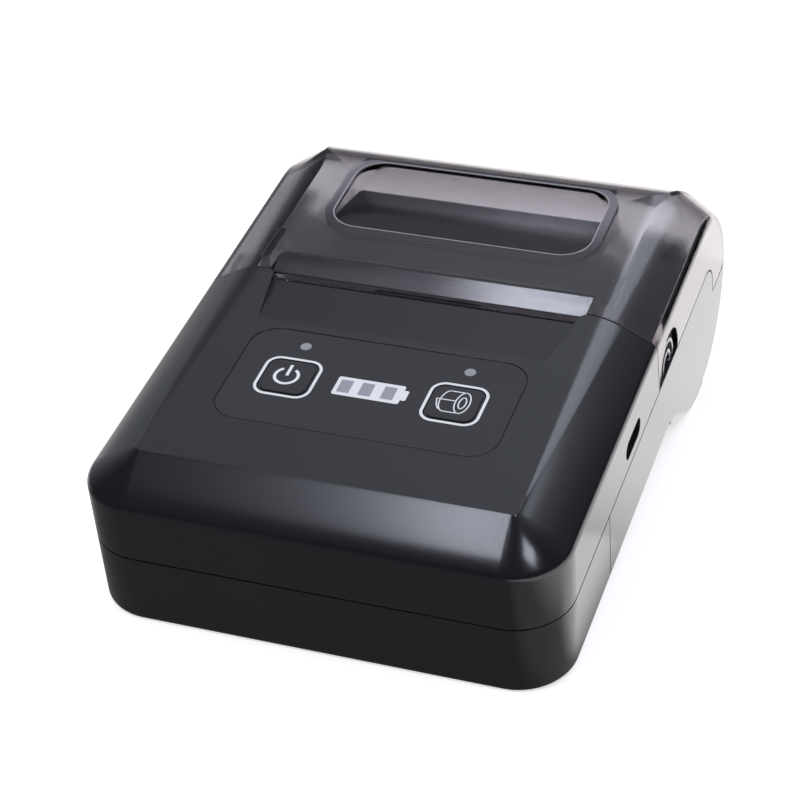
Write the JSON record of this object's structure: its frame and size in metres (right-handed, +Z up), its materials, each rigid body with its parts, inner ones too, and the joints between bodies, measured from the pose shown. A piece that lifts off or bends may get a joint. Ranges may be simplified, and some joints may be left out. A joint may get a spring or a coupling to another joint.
{
  "type": "portable receipt printer",
  "caption": "Palm-sized thermal receipt printer with a smoky hinged paper lid, rear roll bay, two square keys and a slide-off battery cover.",
  "frame": {"origin": "centre of the base on the table, half way along the printer", "axes": "+X to the right side with the USB port, +Y to the rear with the hinge, +Z up; the printer stands as it does on a table, on its front bottom edge and its roll bay"},
  "size_m": [0.084, 0.1198, 0.041],
  "materials": {
    "housing_plastic": "fine satin moulding texture",
    "lid_smoke": "clear smoky polycarbonate, polished",
    "label_film": "matt printed film",
    "key_plastic": "matt printed keys",
    "clear_plastic": "clear, frosted at the ends",
    "battery_wrap": "shrink wrap",
    "gold_contact": "gold flash",
    "circuit_board": "solder mask",
    "black_component": "moulded epoxy",
    "led_white": "clear epoxy",
    "plated_steel": "nickel plated",
    "stainless_steel": "ground",
    "black_steel": "black oxide",
    "frame_plastic": "glass filled",
    "aluminium": "milled",
    "alumina": "glazed strip",
    "white_acetal": "waxy",
    "pinion_brass": "hobbed",
    "platen_rubber": "ground rubber"
  },
  "bodies": {
    "housing": {"upper_housing": "housing_plastic", "lower_housing": "housing_plastic", "battery_pack": "battery_wrap", "battery_contacts": "gold_contact", "control_label": "label_film", "light_pipes": "clear_plastic", "gauge_light_guide": "clear_plastic", "main_board": "circuit_board", "tact_switches": "black_component", "indicator_leds": "led_white", "controller_chips": "black_component", "usb_connector": "plated_steel", "tear_bar": "black_steel", "mechanism_frame": "frame_plastic", "head_springs": "plated_steel", "feed_motor": "plated_steel", "idler_axle": "stainless_steel", "paper_sensor": "black_component", "hinge_pins": "stainless_steel", "housing_screws": "black_steel", "board_screws": "plated_steel", "mechanism_screws": "plated_steel"},
    "lid": {"lid": "lid_smoke", "platen_bushes": "white_acetal"},
    "platen": {"platen_roller": "platen_rubber", "platen_shaft": "stainless_steel", "platen_gear": "white_acetal"},
    "idler": {"idler_gear": "white_acetal"},
    "motor_rotor": {"motor_pinion": "pinion_brass"},
    "head": {"heat_plate": "aluminium", "print_head": "alumina"},
    "power_button": {"power_button": "key_plastic"},
    "feed_button": {"feed_button": "key_plastic"},
    "battery_cover": {"battery_cover": "housing_plastic"}
  },
  "joints": [
    {"name": "lid_hinge", "type": "hinge", "parent": "housing", "child": "lid", "pos_m": [0, 0.05752, 0.01904], "axis": [-1, 0, 0], "range_deg": [0, 100]},
    {"name": "platen_spin", "type": "hinge", "parent": "lid", "child": "platen", "pos_m": [0, 0.01063, 0.02753], "axis": [1, 0, 0], "continuous": true},
    {"name": "idler_spin", "type": "hinge", "parent": "housing", "child": "idler", "pos_m": [0, 0.00442, 0.01838], "axis": [1, 0, 0], "continuous": true},
    {"name": "pinion_spin", "type": "hinge", "parent": "housing", "child": "motor_rotor", "pos_m": [0, -0.00411, 0.01534], "axis": [1, 0, 0], "continuous": true},
    {"name": "head_pivot", "type": "hinge", "parent": "housing", "child": "head", "pos_m": [0, 0.00824, 0.01631], "axis": [1, 0, 0], "range_deg": [0, 2], "stiffness_Nm_per_rad": 0.3, "springref_deg": -5.73},
    {"name": "power_press", "type": "slide", "parent": "housing", "child": "power_button", "axis": [0, 0.1101, -0.9939], "range_m": [0, 0.00035], "stiffness_N_per_m": 600, "springref_m": -0.0015},
    {"name": "feed_press", "type": "slide", "parent": "housing", "child": "feed_button", "axis": [0, 0.1101, -0.9939], "range_m": [0, 0.00035], "stiffness_N_per_m": 600, "springref_m": -0.0015},
    {"name": "cover_slide", "type": "slide", "parent": "housing", "child": "battery_cover", "axis": [0, -0.9939, -0.1101], "range_m": [0, 0.03]}
  ],
  "couplings": [
    {"joint": "idler_spin", "follows": "platen_spin", "ratio": -0.83333},
    {"joint": "pinion_spin", "follows": "platen_spin", "ratio": 1.6667}
  ]
}
